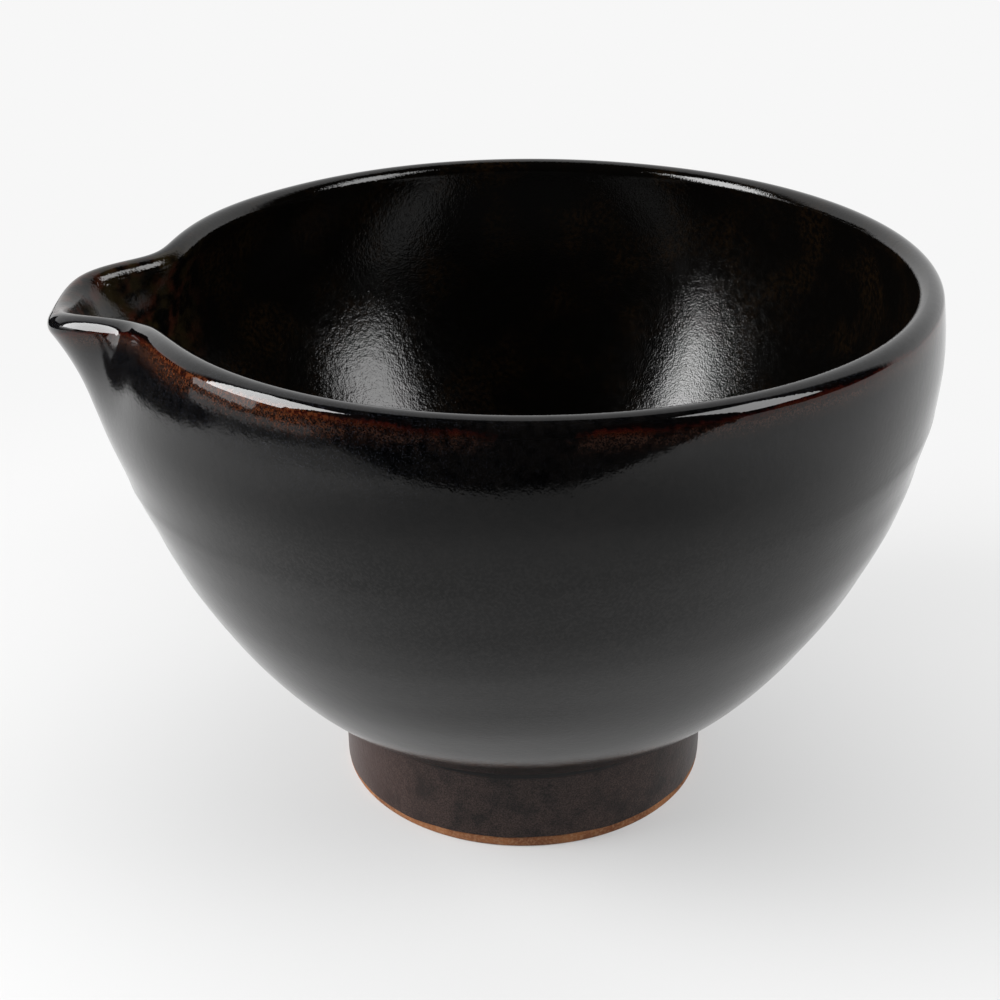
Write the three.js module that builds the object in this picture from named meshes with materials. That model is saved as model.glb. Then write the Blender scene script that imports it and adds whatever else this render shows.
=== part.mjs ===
// A wheel-thrown stoneware pouring bowl: a deep round bowl on a turned foot, with one spout
// pulled out of the soft rim and pinched in at both sides of its neck.
// Millimetres, +Z up. The bowl stands on z = 0 and pours towards -X.
// The fired pot is one body of clay under glaze. Its pieces here are the stages of its making:
// the thrown wall, the turned foot, and the coats of glaze poured over them.
import * as THREE from "three";

// The thrown wall, measured over its glaze and away from the spout
const RIM_RADIUS = 65;
const HEIGHT = 89.9;
const LIP_THICKNESS = 4.1;
const WALL_THICKNESS = 5.4;
const FLOOR_HEIGHT = 21.8;
const GLAZE_THICKNESS = 0.6;

// The bend of the outside. The wall ends below in a heel that stands out over the foot. The bend is
// set by how steeply, and for how far, the wall leaves the heel and meets the lip.
const HEEL_RADIUS = 33.6;
const HEEL_ANGLE = 0.4;
const HEEL_REACH = 7.6;
const LIP_ANGLE = 100;
const LIP_REACH = 32.7;

// The bend of the inside, from the middle of the floor to the wall
const FLOOR_REACH = 21;
const BEND_REACH = 20;

// The pulled spout: how far it stands out of the round rim, half its width, and how squarely it
// turns into its neck. It starts low on the wall and grows towards the lip.
const SPOUT_REACH = 11.4;
const SPOUT_HALF_ANGLE = 15.2;
const SPOUT_SQUARENESS = 6;
const SPOUT_START = 38.6;
const SPOUT_CURL = 4.3;
const SPOUT_DIP = 6.2;
const DIP_SPREAD = 16.5;

// The pinch on each side of the spout's neck, and the flatter cheek beyond it
const PINCH_DEPTH = 1.8;
const PINCH_ANGLE = 21;
const PINCH_SPREAD = 16;
const PINCH_START = 67.6;
const PINCH_CURL = 1.5;
const CHEEK_DEPTH = 2.2;
const CHEEK_ANGLE = 42;
const CHEEK_SPREAD = 29;

// Pulling the spout leaves the rim a little narrower along the spout than across it
const OVALITY = 2;

// The turned foot, measured over its glaze. A hollow neck curves in from the heel to its side, and
// its lowest band is wiped to bare clay.
const FOOT_HEIGHT = 16.9;
const NECK_HEIGHT = 14.2;
const FOOT_TOP_RADIUS = 31.7;
const FOOT_BASE_RADIUS = 31.5;
const RING_WIDTH = 5.6;
const RING_EDGE_ROUND = 0.6;
const RECESS_DEPTH = 11.5;
const RECESS_FILLET = 3;
const BARE_BAND = 1.8;

// The glaze on the foot thins towards its wiped edge
const WIPED_THICKNESS = 0.3;

// How finely the surfaces are divided, with the columns drawn together at the spout
const COLUMNS = 60;
const CROWDING = 0.5;
const WALL_ROWS = 11;
const FLOOR_ROWS = 5;
const INSIDE_ROWS = 6;
const LIP_STEPS = 6;
const NECK_STEPS = 4;
const EDGE_STEPS = 2;
const FILLET_STEPS = 3;

// The share of the outside curve below which the inside leaves it and rounds into the floor
const FLOOR_SHARE = 0.42;

const DEGREE = Math.PI / 180;
const PROBE = 1e-4;

// Directions round the bowl, in radians from the spout
const directions = Array.from({ length: COLUMNS }, (_, column) => {
  const even = (2 * Math.PI * column) / COLUMNS;
  return even - CROWDING * Math.sin(even);
});

// How far a height has risen from start to the rim, from 0 to 1, bent by a power
function rise(height, start, power) {
  const share = Math.max(0, (height - start) / (HEIGHT - start));
  return share ** power;
}

// A soft hollow at the same angle on each side of the spout
function bothSides(away, angle, spread) {
  return Math.exp(-(((away - angle) / spread) ** 2)) + Math.exp(-(((away + angle) / spread) ** 2));
}

// A point of the round thrown bowl, moved as the potter's fingers pull the spout
function pulled(radius, height, direction) {
  const away = Math.atan2(Math.sin(direction), Math.cos(direction)) / DEGREE;
  const nose = Math.exp(-(Math.abs(away / SPOUT_HALF_ANGLE) ** SPOUT_SQUARENESS));
  const pinch = bothSides(away, PINCH_ANGLE, PINCH_SPREAD);
  const cheek = bothSides(away, CHEEK_ANGLE, CHEEK_SPREAD);
  const dip = Math.exp(-((away / DIP_SPREAD) ** 2));
  const out =
    rise(height, SPOUT_START, SPOUT_CURL) * (SPOUT_REACH * nose - CHEEK_DEPTH * cheek) -
    rise(height, PINCH_START, PINCH_CURL) * PINCH_DEPTH * pinch -
    rise(height, FOOT_HEIGHT, 1) * OVALITY * Math.cos(2 * direction);
  const drop = rise(height, SPOUT_START, 1) * SPOUT_DIP * dip;
  return new THREE.Vector3(
    -(radius + out) * Math.cos(direction),
    -(radius + out) * Math.sin(direction),
    height - drop,
  );
}

// A handle that bends a curve, at an angle and a reach from a point
function handle(from, angle, reach) {
  return from
    .clone()
    .add(new THREE.Vector2(Math.cos(angle * DEGREE), Math.sin(angle * DEGREE)).multiplyScalar(reach));
}
const heel = new THREE.Vector2(HEEL_RADIUS, FOOT_HEIGHT);
const lip = new THREE.Vector2(RIM_RADIUS, HEIGHT - LIP_THICKNESS / 2);
const wallCurve = new THREE.CubicBezierCurve(
  heel,
  handle(heel, HEEL_ANGLE, HEEL_REACH),
  handle(lip, LIP_ANGLE, -LIP_REACH),
  lip,
);

// The outside of the wall, from the heel (share 0) to the lip (share 1)
function outside(share, direction) {
  const point = wallCurve.getPoint(share);
  return pulled(point.x, point.y, direction);
}

// The uphill tangent of a surface, and its normal away from the hollow of the bowl
function frameOf(surface, share, direction) {
  const uphill = surface(share + PROBE, direction).sub(surface(share - PROBE, direction));
  const along = surface(share, direction + PROBE).sub(surface(share, direction - PROBE));
  uphill.normalize();
  return { uphill, outward: along.cross(uphill).normalize() };
}

// The inside of the wall lies one wall thickness behind the outside
function behind(share, direction) {
  const toLip = THREE.MathUtils.smoothstep(share, FLOOR_SHARE, 1);
  const thickness = THREE.MathUtils.lerp(WALL_THICKNESS, LIP_THICKNESS, toLip);
  const { outward } = frameOf(outside, share, direction);
  return outside(share, direction).addScaledVector(outward, -thickness);
}

// The glazed inside of the bowl, from the middle of the floor (share 0) to the lip (share 1)
function inside(share, direction) {
  if (share >= FLOOR_SHARE) return behind(share, direction);
  const middle = new THREE.Vector3(0, 0, FLOOR_HEIGHT);
  const spoke = new THREE.Vector3(-Math.cos(direction), -Math.sin(direction), 0);
  const edge = behind(FLOOR_SHARE, direction);
  const { uphill } = frameOf(outside, FLOOR_SHARE, direction);
  const bend = new THREE.CubicBezierCurve3(
    middle,
    middle.clone().addScaledVector(spoke, FLOOR_REACH),
    edge.clone().addScaledVector(uphill, -BEND_REACH),
    edge,
  );
  return bend.getPoint(share / FLOOR_SHARE);
}

// The round lip, from the outside (turn 0) over the crest (turn 90) to the inside (turn 180)
function overLip(turn, direction, radius) {
  const { uphill, outward } = frameOf(outside, 1, direction);
  return outside(1, direction)
    .addScaledVector(outward, radius * Math.cos(turn * DEGREE) - LIP_THICKNESS / 2)
    .addScaledVector(uphill, radius * Math.sin(turn * DEGREE));
}

// A ring of points round the bowl. Its place in the order of making settles how the quads beside
// it are split, so that two solids that share a surface share its triangles.
let ringsMade = 0;
function ring(pointAt) {
  ringsMade += 1;
  return { order: ringsMade, points: directions.map(pointAt) };
}
function roundRing([radius, height]) {
  return ring((direction) => {
    const x = -radius * Math.cos(direction);
    const y = -radius * Math.sin(direction);
    return new THREE.Vector3(x, y, height);
  });
}

// A closed solid through rings that run down its outside. It ends at its first and last pole on
// the axis or, without poles, joins its last ring to its first.
function solidThrough(rings, poles) {
  const points = rings.flatMap((each) => each.points);
  const index = [];
  const lastBand = poles ? rings.length - 1 : rings.length;
  for (let band = 0; band < lastBand; band += 1) {
    const below = (band + 1) % rings.length;
    const forward = rings[band].order < rings[below].order;
    for (let column = 0; column < COLUMNS; column += 1) {
      const beside = (column + 1) % COLUMNS;
      const [a, b] = [band * COLUMNS + column, below * COLUMNS + column];
      const [c, d] = [below * COLUMNS + beside, band * COLUMNS + beside];
      index.push(...(forward ? [a, b, c, a, c, d] : [a, b, d, b, c, d]));
    }
  }
  if (poles) {
    const first = points.push(poles[0]) - 1;
    const last = points.push(poles[1]) - 1;
    const lowest = (rings.length - 1) * COLUMNS;
    for (let column = 0; column < COLUMNS; column += 1) {
      const beside = (column + 1) % COLUMNS;
      index.push(first, column, beside, lowest + column, last, lowest + beside);
    }
  }
  const geometry = new THREE.BufferGeometry().setFromPoints(points);
  geometry.setIndex(index);
  geometry.computeVertexNormals();
  return geometry;
}

const upwards = (rings) => rings.toReversed();
const onAxis = (height) => new THREE.Vector3(0, 0, height);

// Rings of the wall: its clay, and its glaze one coat outside the clay
const outsideShares = Array.from({ length: WALL_ROWS }, (_, row) => 1 - (row + 1) / WALL_ROWS);
const insideShares = [
  ...Array.from({ length: FLOOR_ROWS }, (_, row) => (FLOOR_SHARE * (row + 1)) / FLOOR_ROWS),
  ...Array.from(
    { length: INSIDE_ROWS - 1 },
    (_, row) => FLOOR_SHARE + ((1 - FLOOR_SHARE) * (row + 1)) / INSIDE_ROWS,
  ),
];
const lipTurns = Array.from({ length: LIP_STEPS + 1 }, (_, step) => (180 * step) / LIP_STEPS);
const crest = LIP_STEPS / 2;

function coated(surface, share, direction, towardsClay) {
  const { outward } = frameOf(surface, share, direction);
  return surface(share, direction).addScaledVector(outward, towardsClay * GLAZE_THICKNESS);
}
const glazeOutside = outsideShares
  .slice(0, -1)
  .map((share) => ring((direction) => outside(share, direction)));
const clayOutside = outsideShares.map((share) =>
  ring((direction) => coated(outside, share, direction, -1)),
);
const glazeInside = insideShares.map((share) => ring((direction) => inside(share, direction)));
const clayInside = insideShares.map((share) =>
  ring((direction) => coated(inside, share, direction, 1)),
);
const glazeLip = lipTurns.map((turn) =>
  ring((direction) => overLip(turn, direction, LIP_THICKNESS / 2)),
);
const clayLip = lipTurns.map((turn) =>
  ring((direction) => overLip(turn, direction, LIP_THICKNESS / 2 - GLAZE_THICKNESS)),
);

// Rings of the foot: the hollow neck under the heel, the side, the standing ring, the recess
const footRadius = (height) =>
  FOOT_BASE_RADIUS + ((FOOT_TOP_RADIUS - FOOT_BASE_RADIUS) * height) / NECK_HEIGHT;
const clayFootRadius = (height) =>
  footRadius(height) - THREE.MathUtils.lerp(WIPED_THICKNESS, GLAZE_THICKNESS, height / NECK_HEIGHT);
const recessRadius = clayFootRadius(0) - RING_WIDTH;

// A quarter of a hollow curve, from the heel in and down to the side of the foot
function neckRings(heelRadius, sideRadius) {
  return Array.from({ length: NECK_STEPS + 1 }, (_, step) => {
    const turn = (90 * step * DEGREE) / NECK_STEPS;
    const radius = heelRadius - (heelRadius - sideRadius) * Math.sin(turn);
    const height = NECK_HEIGHT + (FOOT_HEIGHT - NECK_HEIGHT) * Math.cos(turn);
    return roundRing([radius, height]);
  });
}
const glazeNeck = neckRings(HEEL_RADIUS, footRadius(NECK_HEIGHT));
const clayNeck = neckRings(HEEL_RADIUS - GLAZE_THICKNESS, clayFootRadius(NECK_HEIGHT));
const glazeWipe = roundRing([footRadius(BARE_BAND), BARE_BAND]);
const clayWipe = roundRing([clayFootRadius(BARE_BAND), BARE_BAND]);

function arc(radius, height, round, from, to, steps) {
  return Array.from({ length: steps + 1 }, (_, step) => {
    const turn = (from + ((to - from) * step) / steps) * DEGREE;
    return [radius + round * Math.cos(turn), height + round * Math.sin(turn)];
  });
}
const outerEdge = arc(
  clayFootRadius(0) - RING_EDGE_ROUND, RING_EDGE_ROUND, RING_EDGE_ROUND, 0, -90, EDGE_STEPS,
);
const innerEdge = arc(
  recessRadius + RING_EDGE_ROUND, RING_EDGE_ROUND, RING_EDGE_ROUND, -90, -180, EDGE_STEPS,
);
const standingRing = [...outerEdge, ...innerEdge].map(roundRing);

function recessRings(coat) {
  const fillet = arc(
    recessRadius - RECESS_FILLET,
    RECESS_DEPTH - RECESS_FILLET,
    RECESS_FILLET - coat,
    0,
    90,
    FILLET_STEPS,
  );
  return [[recessRadius - coat, BARE_BAND], ...fillet].map(roundRing);
}
const clayRecess = recessRings(0);
const glazeRecess = recessRings(GLAZE_THICKNESS);

// Fired clay and the two looks of its iron-black glaze
const clay = new THREE.MeshStandardMaterial({ color: 0xb0703c, roughness: 0.85, metalness: 0 });
const glossBlack = new THREE.MeshStandardMaterial({ color: 0x0c0a09, roughness: 0.12, metalness: 0 });
const satinBlack = new THREE.MeshStandardMaterial({ color: 0x171311, roughness: 0.3, metalness: 0 });
const brownBlack = new THREE.MeshStandardMaterial({ color: 0x2c201a, roughness: 0.45, metalness: 0 });

const bowl = new THREE.Group();
function addPiece(name, geometry, material) {
  const piece = new THREE.Mesh(geometry, material);
  piece.name = name;
  bowl.add(piece);
}

// The thrown wall and floor, with the pulled spout. It ends in a flat round base.
addPiece(
  "thrown_wall",
  solidThrough(
    [...clayInside, ...upwards(clayLip), ...clayOutside, clayNeck[0]],
    [onAxis(FLOOR_HEIGHT - GLAZE_THICKNESS), onAxis(FOOT_HEIGHT)],
  ),
  clay,
);

// The foot, turned round and hollowed underneath. It stands on its wiped ring.
addPiece(
  "turned_foot",
  solidThrough(
    [...clayNeck, clayWipe, ...standingRing, ...clayRecess],
    [onAxis(FOOT_HEIGHT), onAxis(RECESS_DEPTH)],
  ),
  clay,
);

// The glaze poured inside, up to the crest of the lip
addPiece(
  "inner_glaze",
  solidThrough(
    [
      ...glazeInside,
      ...upwards(glazeLip.slice(crest)),
      ...clayLip.slice(crest),
      ...upwards(clayInside),
    ],
    [onAxis(FLOOR_HEIGHT), onAxis(FLOOR_HEIGHT - GLAZE_THICKNESS)],
  ),
  glossBlack,
);

// The glaze outside, from the crest of the lip down to the edge of the heel
addPiece(
  "outer_glaze",
  solidThrough([
    ...upwards(glazeLip.slice(0, crest + 1)),
    ...glazeOutside,
    glazeNeck[0],
    clayNeck[0],
    ...upwards(clayOutside),
    ...clayLip.slice(0, crest + 1),
  ]),
  satinBlack,
);

// The thinner, browner glaze in the neck and on the foot, wiped off above the table
addPiece(
  "foot_glaze",
  solidThrough([...glazeNeck, glazeWipe, clayWipe, ...upwards(clayNeck)]),
  brownBlack,
);

// The glaze in the recess under the foot
addPiece(
  "recess_glaze",
  solidThrough(
    [...upwards(clayRecess), ...glazeRecess],
    [onAxis(RECESS_DEPTH), onAxis(RECESS_DEPTH - GLAZE_THICKNESS)],
  ),
  brownBlack,
);

// The origin is under the middle of the whole bowl, spout included
const extent = new THREE.Box3().setFromObject(bowl);
bowl.position.x = -(extent.min.x + extent.max.x) / 2;

export default bowl;
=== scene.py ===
import math

import bmesh
import bpy
import numpy as np
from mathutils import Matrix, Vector


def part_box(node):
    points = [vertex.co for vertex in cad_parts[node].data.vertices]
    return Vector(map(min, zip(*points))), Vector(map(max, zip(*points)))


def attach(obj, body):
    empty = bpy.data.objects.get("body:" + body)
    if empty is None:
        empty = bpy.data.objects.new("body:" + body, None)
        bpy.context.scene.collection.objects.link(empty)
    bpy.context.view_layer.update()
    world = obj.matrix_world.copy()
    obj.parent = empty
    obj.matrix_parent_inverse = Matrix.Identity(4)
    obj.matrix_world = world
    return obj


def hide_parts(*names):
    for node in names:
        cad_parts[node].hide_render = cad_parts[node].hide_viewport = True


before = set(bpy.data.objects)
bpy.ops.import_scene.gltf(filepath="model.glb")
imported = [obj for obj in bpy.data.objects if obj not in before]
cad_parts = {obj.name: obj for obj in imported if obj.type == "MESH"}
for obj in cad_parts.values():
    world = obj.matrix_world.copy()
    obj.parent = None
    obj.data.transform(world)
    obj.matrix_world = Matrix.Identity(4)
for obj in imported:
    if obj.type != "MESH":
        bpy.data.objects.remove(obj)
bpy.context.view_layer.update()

# The thrown wall is the bowl itself: iron-bearing stoneware thrown on the wheel, its round lip
# drawn out into a spout over one finger and pinched at both sides of the neck. It is one fired
# body with the foot, and glaze covers it all over.
RIM_RADIUS = 0.065
HEIGHT = 0.0899
LIP_THICKNESS = 0.0041
WALL_THICKNESS = 0.0054
FLOOR_HEIGHT = 0.0218
COAT = 0.0006
HEEL_RADIUS = 0.0336
FOOT_HEIGHT = 0.0169
HEEL_ANGLE = 0.4
HEEL_REACH = 0.0076
LIP_ANGLE = 100
LIP_REACH = 0.0327
FLOOR_REACH = 0.021
BEND_REACH = 0.020
FLOOR_SHARE = 0.42

SPOUT_REACH = 0.0114
SPOUT_HALF_ANGLE = 15.2
SPOUT_FAR_SHARE = 0.93
FLANK_WIDTH = 1.14
FLANK_NARROWING = 0.14
SPOUT_SQUARENESS = 4.7
SPOUT_SOFTNESS = 2.3
SPOUT_START = 0.0386
SPOUT_CURL = 4.3
SPOUT_DIP = 0.0062
DIP_SPREAD = 16.5
PINCH_DEPTH = 0.0018
PINCH_ANGLE = 21
PINCH_SPREAD = 16
PINCH_START = 0.0676
PINCH_CURL = 1.5
CHEEK_DEPTH = 0.0022
CHEEK_ANGLE = 42
CHEEK_SPREAD = 29
OVALITY = 0.0020
LEAN = (0.0095, 0.0150)
ASIDE = 0.00025
# Each ridge has its height, its size and its spread.
RIDGES = (
    (0.0750, 0.00008, 0.0030), (0.0668, 0.00010, 0.0008),
    (0.0660, 0.00012, 0.0030), (0.0605, -0.00015, 0.0028),
    (0.0510, 0.00013, 0.0026), (0.0440, -0.00010, 0.0022),
    (0.0370, 0.00013, 0.0030), (0.0290, 0.00009, 0.0020),
)
RIDGE_TILT = 0.0052
RIDGE_FADE = 0.010
# Each dent has its height, its spread, its angle from the spout and its size.
DENTS = (
    (0.0365, 0.009, 180, -0.0005), (0.072, 0.007, 10, 0.0006),
    (0.0290, 0.009, 0, 0.0002), (0.0680, 0.0045, 168, -0.0003),
)
# Each swell has its lobes round the bowl, its waves up the wall, its phase and its size.
SWELLS = (
    (2, 310, 0.4, 0.00006), (3, -190, 1.9, 0.00005),
    (5, 260, 4.0, 0.00004), (7, -420, 2.2, 0.00002),
)

COLUMNS = 360
CROWDING = 0.5
PROBE = 1e-4

foot_low, foot_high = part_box("turned_foot")
middle = Vector(((foot_low.x + foot_high.x) / 2, (foot_low.y + foot_high.y) / 2, 0))


def rise(height, start, power):
    """How far a height has risen from start to the rim, from 0 to 1, bent by a power."""
    return max(0, (height - start) / (HEIGHT - start)) ** power


def both_sides(away, angle, spread):
    """A soft hollow at the same angle on each side of the spout."""
    return np.exp(-(((away - angle) / spread) ** 2)) + np.exp(-(((away + angle) / spread) ** 2))


def thrown(height, direction):
    """The ridges and dents that the thrower's fingers leave round the outside of the wall."""
    ring = height + RIDGE_TILT * np.cos(direction)
    relief = sum(size * np.exp(-(((ring - level) / spread) ** 2)) for level, size, spread in RIDGES)
    relief = relief * (0.75 + 0.25 * np.cos(2 * direction) + 0.25 * np.sin(5 * direction + 1))
    swells = sum(
        size * np.sin(lobes * direction + height * wave + phase) for lobes, wave, phase, size in SWELLS
    )
    relief = relief + swells
    for level, spread, angle, size in DENTS:
        facing = np.maximum(0, np.cos(direction - math.radians(angle))) ** 2
        relief = relief + size * np.exp(-(((height - level) / spread) ** 2)) * facing
    fade = min(1, max(0, (HEIGHT - LIP_THICKNESS - height) / RIDGE_FADE))
    return relief * rise(height, FOOT_HEIGHT, 0.5) * fade


def pulled(radius, height, direction):
    """A point of the round bowl, moved as the fingers pull the spout. Direction is from the spout."""
    away = np.degrees(np.arctan2(np.sin(direction), np.cos(direction)))
    pinched = rise(height, PINCH_START, 1)
    half = SPOUT_HALF_ANGLE * np.where(away < 0, SPOUT_FAR_SHARE, 1)
    half = half * (FLANK_WIDTH - FLANK_NARROWING * pinched)
    square = SPOUT_SOFTNESS + (SPOUT_SQUARENESS - SPOUT_SOFTNESS) * pinched
    nose = np.exp(-(np.abs(away / half) ** square))
    pinch = both_sides(away, PINCH_ANGLE, PINCH_SPREAD)
    cheek = both_sides(away, CHEEK_ANGLE, CHEEK_SPREAD)
    out = rise(height, SPOUT_START, SPOUT_CURL) * (SPOUT_REACH * nose - CHEEK_DEPTH * cheek)
    out = out - rise(height, PINCH_START, PINCH_CURL) * PINCH_DEPTH * pinch
    out = out - rise(height, FOOT_HEIGHT, 1) * OVALITY * np.cos(2 * direction)
    drop = rise(height, SPOUT_START, 1) * SPOUT_DIP * np.exp(-((away / DIP_SPREAD) ** 2))
    x, y = -(radius + out) * np.cos(direction), -(radius + out) * np.sin(direction)
    tilt = rise(height, FOOT_HEIGHT, 1) * (LEAN[0] * x + LEAN[1] * y)
    return np.stack([x - ASIDE * rise(height, FOOT_HEIGHT, 1), y, height - drop + tilt], 1)


def heading(angle):
    """A step of one metre at an angle, in the section of the bowl."""
    return np.array([math.cos(math.radians(angle)), math.sin(math.radians(angle))])


def bend(start, first, second, end, share):
    """The point a share of the way along a curve with two handles."""
    rest = 1 - share
    early = rest**3 * start + 3 * rest**2 * share * first
    return early + 3 * rest * share**2 * second + share**3 * end


heel = np.array([HEEL_RADIUS, FOOT_HEIGHT])
lip = np.array([RIM_RADIUS, HEIGHT - LIP_THICKNESS / 2])


def section(share):
    """The outside of the round wall, from the heel (share 0) to the lip (share 1)."""
    first = heel + HEEL_REACH * heading(HEEL_ANGLE)
    second = lip - LIP_REACH * heading(LIP_ANGLE)
    return bend(heel, first, second, lip, share)


def even_outside(share, direction):
    """The outside without the ridges of throwing, which the inside follows."""
    return pulled(*section(share), direction)


def outside(share, direction):
    radius, height = section(share)
    return pulled(radius + thrown(height, direction), height, direction)


def frame_of(surface, share, direction):
    """The uphill tangent of a surface, and its normal away from the hollow of the bowl."""
    uphill = surface(share + PROBE, direction) - surface(share - PROBE, direction)
    along = surface(share, direction + PROBE) - surface(share, direction - PROBE)
    outward = np.cross(along, uphill)
    return tuple(way / np.linalg.norm(way, axis=1, keepdims=True) for way in (uphill, outward))


def behind(share, direction):
    """The inside of the wall, one wall thickness behind the outside."""
    turn = min(max((share - FLOOR_SHARE) / (1 - FLOOR_SHARE), 0), 1)
    ease = turn * turn * (3 - 2 * turn)
    thickness = WALL_THICKNESS + (LIP_THICKNESS - WALL_THICKNESS) * ease
    return even_outside(share, direction) - thickness * frame_of(even_outside, share, direction)[1]


def inside(share, direction):
    """The glazed inside, from the middle of the floor (share 0) to the lip (share 1)."""
    if share >= FLOOR_SHARE:
        return behind(share, direction)
    floor = np.array([0, 0, FLOOR_HEIGHT])
    spoke = np.stack([-np.cos(direction), -np.sin(direction), np.zeros_like(direction)], 1)
    edge = behind(FLOOR_SHARE, direction)
    uphill = frame_of(even_outside, FLOOR_SHARE, direction)[0]
    first = floor + FLOOR_REACH * spoke
    return bend(floor, first, edge - BEND_REACH * uphill, edge, share / FLOOR_SHARE)


def outside_row(share, coat=0):
    def place(direction):
        outward = frame_of(outside, share, direction)[1]
        return outside(share, direction) - coat * outward
    return place


def inside_row(share, coat=0):
    def place(direction):
        outward = frame_of(inside, share, direction)[1]
        return inside(share, direction) + coat * outward
    return place


def lip_row(turn, coat=0):
    """A row of the round lip, from the outside (turn 0) over the crest (90) to the inside (180)."""
    across, upward = heading(turn) * (LIP_THICKNESS / 2 - coat)
    def place(direction):
        uphill, outward = frame_of(outside, 1, direction)
        return outside(1, direction) + (across - LIP_THICKNESS / 2) * outward + upward * uphill
    return place


def round_row(radius, height):
    def place(direction):
        heights = np.full_like(direction, height)
        return np.stack([-radius * np.cos(direction), -radius * np.sin(direction), heights], 1)
    return place


def spun(rows, closed):
    """A solid of the wall: the section at the back is spun round, then each of its rows is drawn
    to the pulled bowl. A section that isn't closed ends on the axis. Each point carries how many
    millimetres below the line of the lip it lies, and how many degrees aside of the spout."""
    solid = bmesh.new()
    row_of = solid.verts.layers.int.new("row")
    corners = [solid.verts.new(row(np.array([math.pi]))[0]) for row in rows]
    for number, corner in enumerate(corners):
        corner[row_of] = number
    pairs = list(zip(corners, corners[1:])) + [(corners[-1], corners[0])] * closed
    edges = [solid.edges.new(pair) for pair in pairs]
    bmesh.ops.spin(
        solid, geom=corners + edges, cent=(0, 0, 0), axis=(0, 0, 1),
        angle=math.pi / 2, steps=COLUMNS // 4,
    )
    for axis in "XY":
        whole = list(solid.verts) + list(solid.edges) + list(solid.faces)
        bmesh.ops.mirror(solid, geom=whole, axis=axis, merge_dist=1e-7)
    bmesh.ops.remove_doubles(solid, verts=solid.verts, dist=1e-7)
    points = list(solid.verts)
    number = np.array([point[row_of] for point in points])
    even = np.array([math.atan2(-point.co.y, -point.co.x) for point in points])
    direction = even - CROWDING * np.sin(even)
    spots = np.zeros((len(points), 3))
    for count, row in enumerate(rows):
        mine = np.flatnonzero(number == count)
        spots[mine] = row(direction[mine])
    gap = spots - outside(1, direction)
    above = np.sum(gap * frame_of(outside, 1, direction)[0], 1) > 0
    below = np.linalg.norm(gap, axis=1) * np.where(above, -1000, 1000)
    aside = np.abs(np.degrees(np.arctan2(np.sin(direction), np.cos(direction))))
    below_of, aside_of = solid.verts.layers.float.new("below"), solid.verts.layers.float.new("aside")
    points = list(solid.verts)
    for point, spot, depth, angle in zip(points, spots, below, aside):
        point.co, point[below_of], point[aside_of] = spot, depth, angle
    bmesh.ops.recalc_face_normals(solid, faces=solid.faces)
    return solid


def finished(solid, name, material, sharp_angle=50):
    """The piece's object, standing where the foot of the bowl stands."""
    bmesh.ops.translate(solid, vec=middle, verts=solid.verts)
    mesh = bpy.data.meshes.new(name)
    solid.to_mesh(mesh)
    solid.free()
    mesh.shade_smooth()
    mesh.set_sharp_from_angle(angle=math.radians(sharp_angle))
    mesh.materials.append(material)
    piece = bpy.data.objects.new(name, mesh)
    bpy.context.scene.collection.objects.link(piece)
    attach(piece, "root")
    return piece


def node(tree, kind, values=(), **settings):
    """A node of a material. A value is a plain number or colour, or the output that feeds it."""
    made = tree.nodes.new("ShaderNode" + kind)
    for name, value in settings.items():
        setattr(made, name, value)
    for socket, value in dict(values).items():
        if isinstance(value, bpy.types.NodeSocket):
            tree.links.new(value, made.inputs[socket])
        else:
            made.inputs[socket].default_value = value
    return made


def new_material(name):
    """A material with its shader, and the millimetres on the object that its patterns follow."""
    material = bpy.data.materials.new(name)
    material.use_nodes = True
    tree = material.node_tree
    shader = tree.nodes["Principled BSDF"]
    metres = node(tree, "TexCoord").outputs["Object"]
    place = node(tree, "VectorMath", {0: metres, "Scale": 1000}, operation="SCALE").outputs[0]
    return material, tree, shader, place


def noise(tree, place, scale, detail=2):
    """A cloud of noise. The scale is in waves a millimetre."""
    return node(tree, "TexNoise", {"Vector": place, "Scale": scale, "Detail": detail}).outputs["Fac"]


def math_of(tree, operation, first, second):
    return node(tree, "Math", {0: first, 1: second}, operation=operation).outputs[0]


def ramp(tree, value, low, high, at_low=0, at_high=1):
    """A value carried smoothly from one span to another."""
    spans = {"Value": value, "From Min": low, "From Max": high, "To Min": at_low, "To Max": at_high}
    return node(tree, "MapRange", spans, interpolation_type="SMOOTHSTEP").outputs["Result"]


def blend(tree, share, first, second):
    """A colour, or a share of the way from it to a second one."""
    mixed = node(tree, "Mix", data_type="RGBA")
    for number, value in ((0, share), (6, first), (7, second)):
        if isinstance(value, bpy.types.NodeSocket):
            tree.links.new(value, mixed.inputs[number])
        else:
            mixed.inputs[number].default_value = value if number == 0 else (*value, 1)
    return mixed.outputs[2]


def new_group(name, inputs, outputs):
    """A group of nodes that several materials share. Its sockets are floats, colours or vectors."""
    tree = bpy.data.node_groups.new(name, "ShaderNodeTree")
    for side, sockets in (("INPUT", inputs), ("OUTPUT", outputs)):
        for label, kind in sockets:
            tree.interface.new_socket(label, in_out=side, socket_type="NodeSocket" + kind)
    return tree, tree.nodes.new("NodeGroupInput").outputs, tree.nodes.new("NodeGroupOutput").inputs


def use_group(tree, group, values):
    made = tree.nodes.new("ShaderNodeGroup")
    made.node_tree = group
    for socket, value in values.items():
        if isinstance(value, bpy.types.NodeSocket):
            tree.links.new(value, made.inputs[socket])
        else:
            made.inputs[socket].default_value = value
    return made.outputs


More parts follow.
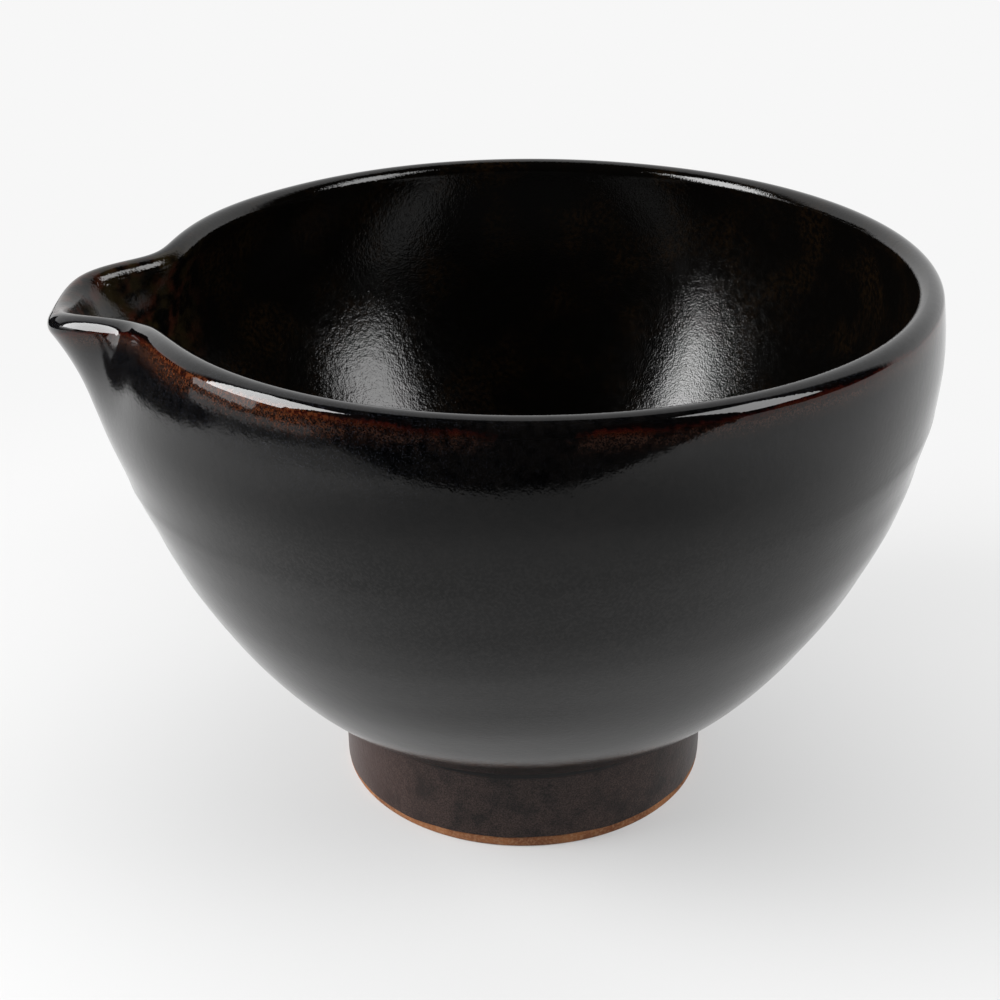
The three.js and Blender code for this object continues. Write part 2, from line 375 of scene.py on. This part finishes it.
clay, tree, shader, place = new_material("fired_clay")
sand, cloud = noise(tree, place, 2.2, 4), noise(tree, place, 0.16, 3)
height_up = node(tree, "SeparateXYZ", {0: place}).outputs["Z"]
turns = {"W": math_of(tree, "MULTIPLY", height_up, 3), "Detail": 2}
turning = node(tree, "TexNoise", turns, noise_dimensions="1D").outputs["Fac"]
warm = blend(tree, ramp(tree, cloud, 0.35, 0.65), (0.19, 0.060, 0.018), (0.34, 0.130, 0.042))
toasted = blend(tree, ramp(tree, sand, 0.42, 0.72, 0, 0.6), warm, (0.42, 0.23, 0.115))
tree.links.new(toasted, shader.inputs["Base Color"])
shader.inputs["Roughness"].default_value = 0.8
relief = node(tree, "Bump", {"Height": sand, "Distance": 0.00008, "Strength": 1})
relief = node(tree, "Bump", {
    "Height": turning, "Distance": 0.00006, "Strength": 1, "Normal": relief.outputs[0],
})
tree.links.new(relief.outputs["Normal"], shader.inputs["Normal"])

WALL_ROWS = 70
LIP_STEPS = 24
CREST_SEAM = 1.5

wall_shares = [1 - (row + 1) / WALL_ROWS for row in range(WALL_ROWS)]
inside_shares = [(row + 1) / WALL_ROWS for row in range(WALL_ROWS - 1)]
lip_turns = [180 * step / LIP_STEPS for step in range(LIP_STEPS + 1)]
clay_rows = [round_row(0, FLOOR_HEIGHT - COAT)]
clay_rows += [inside_row(share, COAT) for share in inside_shares]
clay_rows += [lip_row(turn, COAT) for turn in reversed(lip_turns)]
clay_rows += [outside_row(share, COAT) for share in wall_shares]
clay_rows += [round_row(HEEL_RADIUS - COAT, FOOT_HEIGHT), round_row(0, FOOT_HEIGHT)]
thrown_wall = finished(spun(clay_rows, closed=False), "thrown_wall_clay", clay)
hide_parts("thrown_wall")

# The turned foot is the same clay, turned to a ring and hollowed when leather hard. Only the
# wiped band that it stands on stays bare and fires orange brown.
FOOT_TOP_RADIUS = 0.0315
FOOT_BASE_RADIUS = 0.0315
NECK_HEIGHT = 0.0142
RING_WIDTH = 0.0056
RING_EDGE_ROUND = 0.0005
RECESS_DEPTH = 0.0115
RECESS_FILLET = 0.003
BARE_BAND = 0.0018
WIPED_SHARE = 0.1
FILLET_STEPS = 12


def foot_radius(height, coat=0):
    """The side of the foot, under a coat that thins towards the table."""
    share = height / NECK_HEIGHT
    thinned = coat * (WIPED_SHARE + (1 - WIPED_SHARE) * share)
    return FOOT_BASE_RADIUS + (FOOT_TOP_RADIUS - FOOT_BASE_RADIUS) * share - thinned


def neck_rows(coat):
    """The hollow curve from the heel of the wall in and down to the side of the foot."""
    rows = []
    for step in range(FILLET_STEPS + 1):
        out, up = heading(90 - 90 * step / FILLET_STEPS)
        inner, outer = foot_radius(NECK_HEIGHT, coat), HEEL_RADIUS - coat
        height = NECK_HEIGHT + (FOOT_HEIGHT - NECK_HEIGHT) * up
        rows.append(round_row(outer - (outer - inner) * out, height))
    return rows


def recess_rows(coat):
    """The hollow under the foot, from its side over the fillet to its roof."""
    wall = foot_radius(0, COAT) - RING_WIDTH - coat
    rows = [round_row(wall, BARE_BAND)]
    for step in range(FILLET_STEPS + 1):
        out, up = heading(90 * step / FILLET_STEPS)
        rows.append(round_row(
            wall - RECESS_FILLET + RECESS_FILLET * out,
            RECESS_DEPTH - coat - RECESS_FILLET + RECESS_FILLET * up,
        ))
    return rows + [round_row(0, RECESS_DEPTH - coat)]


def standing_rows():
    """The ring that the bowl stands on, with its edges rounded by the sponge."""
    rows = []
    for centre, start in (
        (foot_radius(0, COAT) - RING_EDGE_ROUND, 0),
        (foot_radius(0, COAT) - RING_WIDTH + RING_EDGE_ROUND, -90),
    ):
        for step in range(FILLET_STEPS // 2 + 1):
            out, up = RING_EDGE_ROUND * heading(start - 90 * step / (FILLET_STEPS // 2))
            rows.append(round_row(centre + out, RING_EDGE_ROUND + up))
    return rows


SIDE_ROWS = 12
side_heights = [
    NECK_HEIGHT + (BARE_BAND - NECK_HEIGHT) * (row + 1) / SIDE_ROWS for row in range(SIDE_ROWS)
]
foot_rows = [round_row(0, FOOT_HEIGHT)] + neck_rows(COAT)
foot_rows += [round_row(foot_radius(height, COAT), height) for height in side_heights]
foot_rows += standing_rows() + recess_rows(0)
turned_foot = finished(spun(foot_rows, closed=False), "turned_foot_clay", clay)
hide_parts("turned_foot")

# The inner glaze is poured in and out again: a glossy iron black over the floor and the wall,
# up to the crest of the lip. It ripples slightly, like the peel of an orange.
skin, given, result = new_group(
    "glaze_skin",
    (("Place", "Vector"), ("Ripple", "Float"), ("Peel", "Float"), ("Grain", "Float")),
    (("Normal", "Vector"),),
)
relief = None
for wave, size in ((0.28, "Ripple"), (1.15, "Peel"), (3.2, "Grain")):
    height_up = math_of(skin, "MULTIPLY", noise(skin, given["Place"], wave, 1), given[size])
    bumps = {"Height": height_up, "Distance": 0.001, "Strength": 1}
    if relief:
        bumps["Normal"] = relief
    relief = node(skin, "Bump", bumps).outputs["Normal"]
skin.links.new(relief, result["Normal"])

inner, tree, shader, place = new_material("inner_glaze")
below = node(tree, "Attribute", attribute_name="below").outputs["Fac"]
aside = node(tree, "Attribute", attribute_name="aside").outputs["Fac"]
clouded = ramp(tree, noise(tree, place, 0.09, 3), 0.42, 0.7)
brown = math_of(tree, "MULTIPLY", clouded, ramp(tree, noise(tree, place, 1.3, 2), 0.35, 0.7))
black = blend(tree, brown, (0.0014, 0.0012, 0.0010), (0.0075, 0.0042, 0.0018))
in_spout = math_of(tree, "MULTIPLY", ramp(tree, aside, 14, 30, 1, 0), ramp(tree, below, 14, 30, 1, 0))
reddish = ramp(tree, noise(tree, place, 0.22, 3), 0.4, 0.6)
patchy = blend(tree, reddish, (0.014, 0.010, 0.004), (0.030, 0.009, 0.005))
worn = ramp(tree, noise(tree, place, 0.35, 3), 0.38, 0.62)
thin = blend(tree, math_of(tree, "MULTIPLY", in_spout, worn), black, patchy)
tree.links.new(thin, shader.inputs["Base Color"])
smooth_lip = ramp(tree, below, 1, 6, 0.4, 1)
dull = ramp(tree, noise(tree, place, 0.7, 3), 0.3, 0.7, 0.10, 0.15)
tree.links.new(math_of(tree, "MULTIPLY", dull, smooth_lip), shader.inputs["Roughness"])
shader.inputs["IOR"].default_value = 1.45
rippled = math_of(tree, "MULTIPLY", smooth_lip, 0.032)
uneven = math_of(tree, "MULTIPLY", smooth_lip, ramp(tree, aside, 75, 105, 0.036, 0.017))
skin_of = use_group(tree, skin, {"Place": place, "Ripple": rippled, "Peel": uneven, "Grain": 0.028})
tree.links.new(skin_of["Normal"], shader.inputs["Normal"])

FINE_ROWS = 110
BACK_ROWS = 40
fine_inside = [(row + 1) / FINE_ROWS for row in range(FINE_ROWS - 1)]
back_inside = [(row + 1) / BACK_ROWS for row in range(BACK_ROWS - 1)]
inner_turns = [90 + CREST_SEAM] + lip_turns[LIP_STEPS // 2 + 1:]
inner_rows = [round_row(0, FLOOR_HEIGHT)]
inner_rows += [inside_row(share) for share in fine_inside]
inner_rows += [lip_row(turn) for turn in reversed([90] + inner_turns)]
inner_rows += [lip_row(turn, COAT) for turn in [90] + inner_turns]
inner_rows += [inside_row(share, COAT) for share in reversed(back_inside)]
inner_rows += [round_row(0, FLOOR_HEIGHT - COAT)]
inner_glaze = finished(spun(inner_rows, closed=False), "inner_glaze_coat", inner)
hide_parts("inner_glaze")

# The outer glaze runs from the crest of the lip down to the heel: a satin iron black that thins
# and breaks to rust brown under the lip.
# The rust break: where the glaze runs thin under the edge of the lip, it turns from black through
# red to a speckled brown, in patches.
rust, given, result = new_group(
    "rust_break",
    (("Place", "Vector"), ("Below", "Float"), ("Strength", "Float")),
    (("Colour", "Color"), ("Amount", "Float")),
)
slow = math_of(rust, "SUBTRACT", noise(rust, given["Place"], 0.14, 1), 0.5)
waver = math_of(rust, "MULTIPLY", slow, 1.3)
quick = math_of(rust, "SUBTRACT", noise(rust, given["Place"], 1.6, 2), 0.5)
fray = math_of(rust, "MULTIPLY", quick, 1.1)
depth = math_of(rust, "ADD", given["Below"], math_of(rust, "ADD", waver, fray))
tone = node(rust, "ValToRGB", {"Fac": ramp(rust, depth, -1.6, 4.4)})
tone.color_ramp.interpolation = "EASE"
stops = (
    (0.08, (0.002, 0.001, 0.001)), (0.14, (0.020, 0.003, 0.002)), (0.20, (0.032, 0.007, 0.003)),
    (0.27, (0.030, 0.010, 0.006)), (0.36, (0.042, 0.020, 0.014)), (0.6, (0.028, 0.015, 0.011)),
    (0.9, (0.007, 0.004, 0.003)),
)
for stop, (position, colour) in enumerate(stops):
    mark = tone.color_ramp.elements[stop] if stop < 2 else tone.color_ramp.elements.new(position)
    mark.position, mark.color = position, (*colour, 1)
rust.links.new(tone.outputs["Color"], result["Colour"])
start, end = ramp(rust, depth, -1.0, -0.7), ramp(rust, depth, 0.6, 3.4, 1, 0)
specks = ramp(rust, noise(rust, given["Place"], 4.2, 3), 0.36, 0.66)
specks = math_of(rust, "MAXIMUM", specks, ramp(rust, depth, -0.1, 0.4, 1, 0.1))
mottle = math_of(rust, "MULTIPLY", noise(rust, given["Place"], 0.9, 2), 0.5)
patches = math_of(rust, "ADD", noise(rust, given["Place"], 0.07, 1), mottle)
open_share = ramp(rust, math_of(rust, "ADD", patches, given["Strength"]), 0.9, 1.25)
speckled = math_of(rust, "MULTIPLY", start, specks)
patched = math_of(rust, "MULTIPLY", end, open_share)
rust.links.new(math_of(rust, "MULTIPLY", speckled, patched), result["Amount"])

outer, tree, shader, place = new_material("outer_glaze")
below = node(tree, "Attribute", attribute_name="below").outputs["Fac"]
aside = node(tree, "Attribute", attribute_name="aside").outputs["Fac"]
# The rust break gets a larger share the further it lies from the front and the back, towards the sides
# that the two softboxes light. The rust is real, and its extra share at the sides is painted light.
off_front = math_of(tree, "SUBTRACT", aside, 92)
from_front = node(tree, "Math", {0: off_front}, operation="ABSOLUTE").outputs[0]
rust_and_side_light = ramp(tree, from_front, 5, 30, 0.22, 0.50)
broken = use_group(tree, rust, {"Place": place, "Below": below, "Strength": rust_and_side_light})
cloud = noise(tree, place, 0.08, 3)
wisps = math_of(tree, "MULTIPLY", noise(tree, place, 0.9, 5), 0.5)
smoke = math_of(tree, "ADD", wisps, math_of(tree, "MULTIPLY", cloud, 0.5))
smoky = ramp(tree, smoke, 0.40, 0.62)
black = blend(tree, smoky, (0.0003, 0.0003, 0.0003), (0.0032, 0.0028, 0.0026))
dusty = ramp(tree, noise(tree, place, 2.4, 4), 0.45, 0.59)
dust = math_of(tree, "MULTIPLY", dusty, ramp(tree, below, 10, 22))
black = blend(tree, dust, black, (0.0100, 0.0094, 0.0092))
sparks = ramp(tree, noise(tree, place, 5.2, 3), 0.50, 0.72)
beside_front = ramp(tree, from_front, 4, 30, 0.3, 1)
near_lip = math_of(tree, "MULTIPLY", ramp(tree, below, 3, 16, 1, 0), beside_front)
starred = blend(tree, math_of(tree, "MULTIPLY", sparks, near_lip), black, (0.013, 0.014, 0.018))
by_spout = math_of(tree, "MULTIPLY", ramp(tree, aside, 24, 34), ramp(tree, aside, 56, 72, 1, 0))
flecks = math_of(tree, "MULTIPLY", by_spout, ramp(tree, noise(tree, place, 2.4, 3), 0.42, 0.6))
flecks = math_of(tree, "MULTIPLY", flecks, ramp(tree, below, -0.8, -0.2))
browned = blend(tree, math_of(tree, "MULTIPLY", flecks, 0.85), broken["Colour"], (0.11, 0.032, 0.011))
coloured = blend(tree, broken["Amount"], starred, browned)
tree.links.new(coloured, shader.inputs["Base Color"])
satin = ramp(tree, noise(tree, place, 0.25, 3), 0.3, 0.7, 0.07, 0.12)
glossy_lip = ramp(tree, below, -1, 3, 0.3, 1)
tree.links.new(math_of(tree, "MULTIPLY", satin, glossy_lip), shader.inputs["Roughness"])
shader.inputs["IOR"].default_value = 1.4
grained = ramp(tree, below, -1, 14, 0.001, 0.016)
skin_of = use_group(tree, skin, {"Place": place, "Ripple": 0.014, "Peel": 0.010, "Grain": grained})
tree.links.new(skin_of["Normal"], shader.inputs["Normal"])

fine_outside = [1 - (row + 1) / FINE_ROWS for row in range(FINE_ROWS - 1)]
back_outside = [1 - (row + 1) / BACK_ROWS for row in range(BACK_ROWS - 1)]
outer_turns = lip_turns[:LIP_STEPS // 2] + [90 - CREST_SEAM]
outer_rows = [lip_row(turn) for turn in reversed(outer_turns + [90])]
outer_rows += [outside_row(share) for share in fine_outside]
outer_rows += [round_row(HEEL_RADIUS, FOOT_HEIGHT), round_row(HEEL_RADIUS - COAT, FOOT_HEIGHT)]
outer_rows += [outside_row(share, COAT) for share in reversed(back_outside)]
outer_rows += [lip_row(turn, COAT) for turn in outer_turns + [90]]
outer_glaze = finished(spun(outer_rows, closed=True), "outer_glaze_coat", outer)
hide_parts("outer_glaze")

# The foot glaze is the thin end of the same glaze, mottled brown where the clay shows through,
# pooled glossier in the hollow under the heel, which is painted near black as shade, with a painted
# shadow line where the hollow meets the side of the foot, and wiped off above the table.
foot_finish, tree, shader, place = new_material("foot_glaze")
height_up = node(tree, "SeparateXYZ", {0: place}).outputs["Z"]
wisps = math_of(tree, "MULTIPLY", noise(tree, place, 0.5, 2), 0.5)
cloud = math_of(tree, "ADD", noise(tree, place, 0.16, 2), wisps)
aside = node(tree, "Attribute", attribute_name="aside").outputs["Fac"]
tinted = ramp(tree, aside, 25, 62, 1, 0)
dark = ramp(tree, cloud, 0.55, 0.88)
dusk = blend(tree, dark, (0.005, 0.0035, 0.003), (0.016, 0.0095, 0.0078))
dusk = blend(tree, tinted, dusk, (0.030, 0.012, 0.009))
speck = ramp(tree, noise(tree, place, 4.4, 3), 0.36, 0.68)
speck = math_of(tree, "MULTIPLY", speck, ramp(tree, cloud, 0.5, 0.85, 0.25, 1))
mottled = blend(tree, speck, dusk, (0.060, 0.037, 0.032))
# From 12.9 mm up into the hollow under the heel the colour goes near black. This is painted shade, over
# glaze that really pools there and is glossier.
pooled_and_shaded = ramp(tree, height_up, 12.9, 14.2)
side = blend(tree, pooled_and_shaded, mottled, (0.0030, 0.002, 0.0014))
edge = math_of(tree, "ADD", height_up, noise(tree, place, 0.5, 2))
red_line = blend(tree, ramp(tree, edge, 16.4, 16.9), side, (0.07, 0.014, 0.008))
# A near-black band from 13.5 to 14.1 mm, where the hollow under the heel meets the side of the foot, is
# a painted shadow line.
shadow_line_top = ramp(tree, height_up, 13.85, 14.1)
painted_shadow_line = math_of(tree, "SUBTRACT", ramp(tree, height_up, 13.5, 13.75), shadow_line_top)
lined = blend(tree, painted_shadow_line, red_line, (0.001, 0.001, 0.001))
tree.links.new(lined, shader.inputs["Base Color"])
polish = math_of(tree, "MULTIPLY", pooled_and_shaded, 0.24)
tree.links.new(math_of(tree, "SUBTRACT", 0.34, polish), shader.inputs["Roughness"])
shader.inputs["IOR"].default_value = 1.33
skin_of = use_group(tree, skin, {"Place": place, "Ripple": 0.02, "Peel": 0.03, "Grain": 0.02})
tree.links.new(skin_of["Normal"], shader.inputs["Normal"])

WIPED_HEIGHT = 0.0012
# Each waver has its lobes round the foot, its phase and its size.
WAVERS = (
    (1, -0.09, 0.00040), (2, -1.75, 0.00035), (5, 0.6, 0.00008), (11, 2.1, 0.00006), (23, 4.4, 0.00004),
)


def wiped_row(coat):
    """The edge where the glaze was wiped off above the table, in a wavering line."""
    def place(direction):
        wavers = sum(size * np.sin(lobes * direction + phase) for lobes, phase, size in WAVERS)
        height = WIPED_HEIGHT + wavers
        radius = foot_radius(height, coat)
        return np.stack([-radius * np.cos(direction), -radius * np.sin(direction), height], 1)
    return place


def coat_rows(coat):
    """One side of the foot's coat, from the heel down to the wiped edge."""
    side = [round_row(foot_radius(height, coat), height) for height in side_heights[:-1]]
    return neck_rows(coat) + side + [wiped_row(coat)]


foot_coat = spun(coat_rows(0) + coat_rows(COAT)[::-1], closed=True)
foot_glaze = finished(foot_coat, "foot_glaze_coat", foot_finish)
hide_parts("foot_glaze")

# The recess glaze is the coat left in the hollow under the foot when the bowl was glazed, of the
# same thin brown black as the side of the foot. It was wiped off at the ring.
recess_glaze = finished(
    spun(recess_rows(0)[::-1] + recess_rows(COAT), closed=False), "recess_glaze_coat", foot_finish,
)
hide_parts("recess_glaze")

# The table is a plain pale board, white as far as the eye goes. The glaze mirrors it a little
# darker round a spot in front of the bowl.
TABLE_HALF = 4
table = bmesh.new()
bmesh.ops.create_grid(table, x_segments=1, y_segments=1, size=TABLE_HALF)
table_mesh = bpy.data.meshes.new("table")
table.to_mesh(table_mesh)
table.free()
table_top = bpy.data.objects.new("table", table_mesh)
bpy.context.scene.collection.objects.link(table_top)
CAMERA_AZIMUTH = -6
SHADE_AWAY = 0.17
WHITE = 0.93
MIRRORED_SHARE = 0.85
SHADE_DEPTH = 0.56
paper, tree, shader, place = new_material("paper")
shader.inputs["Base Color"].default_value = (0.68, 0.68, 0.68, 1)
shader.inputs["Roughness"].default_value = 0.9
shader.inputs["Specular IOR Level"].default_value = 0.2
path = node(tree, "LightPath")
turn = math.radians(CAMERA_AZIMUTH)
shaded_spot = 1000 * (middle - SHADE_AWAY * Vector((-math.sin(turn), math.cos(turn), 0)))
to_shade = node(tree, "VectorMath", {0: place, 1: shaded_spot}, operation="DISTANCE").outputs["Value"]
mirrored = math_of(tree, "MULTIPLY", path.outputs["Is Glossy Ray"], MIRRORED_SHARE)
seen = math_of(tree, "MAXIMUM", path.outputs["Is Camera Ray"], mirrored)
distance = node(tree, "VectorMath", {0: place}, operation="LENGTH").outputs["Value"]
share = math_of(tree, "MULTIPLY", seen, ramp(tree, distance, 30, 250, 0.3, 1))
shade = ramp(tree, to_shade, 60, 280, SHADE_DEPTH, 0)
dim = math_of(tree, "MULTIPLY", path.outputs["Is Glossy Ray"], shade)
share = math_of(tree, "MAXIMUM", share, dim)
brightness = math_of(tree, "SUBTRACT", WHITE, dim)
white = node(tree, "Emission", {"Strength": brightness})
mixed = node(tree, "MixShader", {"Fac": share, 1: shader.outputs[0], 2: white.outputs[0]})
tree.links.new(mixed.outputs[0], tree.nodes["Material Output"].inputs["Surface"])
table_mesh.materials.append(paper)

# The camera looks down on the bowl from the front, a little round towards the spout.
CAMERA_ELEVATION = 25.7
CAMERA_DISTANCE = 0.2409
TARGET_HEIGHT = 0.0453
SENSOR_WIDTH = 36
LENS = 51.5
SHIFT = (-0.0233, 0.0116)


def from_bowl(azimuth, elevation, distance):
    """A place round the bowl: azimuth 0 is in front, and turns to the right."""
    turn, lift = math.radians(azimuth), math.radians(elevation)
    step = Vector((math.sin(turn) * math.cos(lift), -math.cos(turn) * math.cos(lift), math.sin(lift)))
    return middle + Vector((0, 0, TARGET_HEIGHT)) + distance * step


def facing_bowl(thing, spot):
    thing.location = spot
    aim = middle + Vector((0, 0, TARGET_HEIGHT)) - spot
    thing.rotation_euler = aim.to_track_quat("-Z", "Y").to_euler()


camera = bpy.data.objects.new("camera", bpy.data.cameras.new("camera"))
bpy.context.scene.collection.objects.link(camera)
bpy.context.scene.camera = camera
facing_bowl(camera, from_bowl(CAMERA_AZIMUTH, CAMERA_ELEVATION, CAMERA_DISTANCE))
camera.data.sensor_width = SENSOR_WIDTH
camera.data.lens = LENS
camera.data.shift_x, camera.data.shift_y = SHIFT

# Two softboxes stand to the left and right, a little in front of the bowl, with a low strip light
# far out on the left. A large soft panel hangs high on the right, left out of the mirror of the
# glaze. Each lamp has its azimuth, elevation, distance, size and power.
LAMPS = (
    ("softbox_left", -80.5, 29, 0.65, (0.30, 0.44), 6.1),
    ("softbox_right", 67, 39.5, 0.65, (0.26, 0.40), 2.4),
    ("low_strip", -90, 6.0, 1.3, (0.60, 0.15), 0.75),
    ("panel", 95, 68, 1.2, (1.8, 1.8), 8.0),
)
for name, azimuth, elevation, distance, size, power in LAMPS:
    lamp = bpy.data.lights.new(name, "AREA")
    lamp.shape = "RECTANGLE"
    lamp.size, lamp.size_y = size
    lamp.energy = power
    softbox = bpy.data.objects.new(name, lamp)
    bpy.context.scene.collection.objects.link(softbox)
    facing_bowl(softbox, from_bowl(CAMERA_AZIMUTH + azimuth, elevation, distance))
    softbox.visible_camera = False
    softbox.visible_glossy = name != "panel"

# A black cloth hangs behind the camera and lies over the front of the table in a wedge, and
# another lies far out on the left, beside a grey one and before a low upright flag. The wall
# mirrors them under the lip.
CLOTH_LIFT = 0.001
CLOTH_HEIGHT = 6
CLOTH_SIDE = 3
CLOTH_EDGE = (
    (-3.0, -1.62), (-0.8, -0.59), (-0.137, -0.278), (-0.033, -0.256),
    (0.04, -0.262), (0.106, -0.292), (0.345, -0.401), (3.0, -1.64),
)
CLOTH_BACK = 2.2
LEFT_CLOTH = (
    (-0.31, 0.80), (-0.31, 0.24), (-0.44, 0.12), (-0.58, -0.03), (-1.20, -0.10), (-1.20, 0.80),
)
LEFT_FLAG = ((-1.20, 0.20), (-1.20, 0.80), (-0.70, 0.80))
FLAG_HEIGHT = 0.36
GREY_CLOTH = (
    (-0.58, -0.03), (-0.44, -0.06), (-0.36, -0.22), (-0.150, -0.284),
    (-0.8, -0.592), (-1.20, -0.80), (-1.20, -0.10),
)


def in_view(across, away):
    """A place on the table, measured across and away as the camera sees them."""
    x = across * math.cos(turn) - away * math.sin(turn)
    y = across * math.sin(turn) + away * math.cos(turn)
    return middle + Vector((x, y, CLOTH_LIFT))


cloth = bmesh.new()
near_corners = [cloth.verts.new(in_view(*spot)) for spot in CLOTH_EDGE]
far_corners = [
    cloth.verts.new(in_view(across, -CLOTH_BACK)) for across in (-CLOTH_SIDE, CLOTH_SIDE)
]
cloth.faces.new(near_corners + far_corners[::-1])
hem = cloth.edges.get(far_corners) or cloth.edges.new(far_corners)
grown = bmesh.ops.extrude_edge_only(cloth, edges=[hem])["geom"]
risen = [part for part in grown if isinstance(part, bmesh.types.BMVert)]
bmesh.ops.translate(cloth, vec=(0, 0, CLOTH_HEIGHT), verts=risen)
cloth.faces.new([cloth.verts.new(in_view(*spot)) for spot in LEFT_CLOTH])
grey_face = cloth.faces.new([cloth.verts.new(in_view(*spot)) for spot in GREY_CLOTH])
grey_face.material_index = 1
flag_rise = Vector((0, 0, FLAG_HEIGHT))
for start, end in zip(LEFT_FLAG, LEFT_FLAG[1:]):
    low = [cloth.verts.new(in_view(*spot)) for spot in (start, end)]
    high = [cloth.verts.new(in_view(*spot) + flag_rise) for spot in (end, start)]
    cloth.faces.new(low + high)
cloth_mesh = bpy.data.meshes.new("black_cloth")
cloth.to_mesh(cloth_mesh)
cloth.free()
cloth_object = bpy.data.objects.new("black_cloth", cloth_mesh)
bpy.context.scene.collection.objects.link(cloth_object)
cloth_object.visible_camera = False
for name, shade in (("black_cloth", 0.003), ("grey_cloth", 0.30)):
    woven, tree, shader, place = new_material(name)
    shader.inputs["Base Color"].default_value = (shade, shade, shade, 1)
    shader.inputs["Roughness"].default_value = 1
    shader.inputs["Specular IOR Level"].default_value = 0
    cloth_mesh.materials.append(woven)

# The room is a white screen behind the bowl, and dark in front and overhead, where only the
# camera sees it white.
world = bpy.data.worlds.new("studio")
bpy.context.scene.world = world
world.use_nodes = True
tree = world.node_tree
way = node(tree, "TexCoord").outputs["Generated"]
behind_bowl = (-math.sin(turn), math.cos(turn), 0)
backward = node(tree, "VectorMath", {0: way, 1: behind_bowl}, operation="DOT_PRODUCT").outputs["Value"]
screen = node(tree, "MapRange", {
    "Value": backward, "From Min": 0.22, "From Max": 0.36, "To Min": 0.003, "To Max": 0.92,
}, interpolation_type="SMOOTHSTEP").outputs["Result"]
path = node(tree, "LightPath")
seen = math_of(tree, "MULTIPLY", path.outputs["Is Camera Ray"], WHITE)
tree.links.new(math_of(tree, "MAXIMUM", screen, seen), tree.nodes["Background"].inputs["Color"])

bpy.context.scene.view_settings.view_transform = "Standard"
